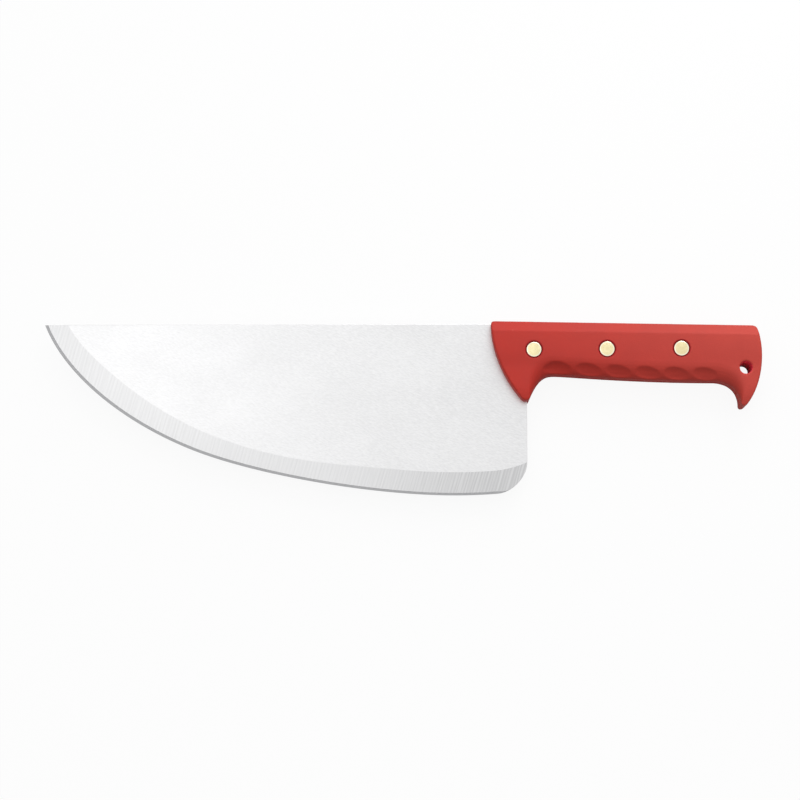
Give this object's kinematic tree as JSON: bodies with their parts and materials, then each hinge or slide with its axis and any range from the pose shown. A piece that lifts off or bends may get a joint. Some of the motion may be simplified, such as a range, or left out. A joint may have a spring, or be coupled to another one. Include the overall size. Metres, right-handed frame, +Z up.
{
  "type": "butcher knife",
  "caption": "Broad curved butcher's knife: ground steel blade, hidden tang riveted in a moulded handle with guard, scalloped grip, rear hook and hanging hole.",
  "frame": {"origin": "under the middle of the knife's outline, on the surface that the right side of its handle lies on", "axes": "+X from the point to the butt, +Y from the cutting edge to the spine, +Z up through the blade's flat, out of its left side"},
  "size_m": [0.3784, 0.0918, 0.02],
  "materials": {
    "blade_steel": "satin stainless steel, with grind lines on the bevel",
    "handle_red": "moulded satin plastic",
    "rivet_brass": "polished flat heads"
  },
  "bodies": {
    "root": {"blade": "blade_steel", "left_scale": "handle_red", "right_scale": "handle_red", "front_rivet_stem": "rivet_brass", "front_rivet_socket": "rivet_brass", "middle_rivet_stem": "rivet_brass", "middle_rivet_socket": "rivet_brass", "rear_rivet_stem": "rivet_brass", "rear_rivet_socket": "rivet_brass"}
  },
  "joints": []
}
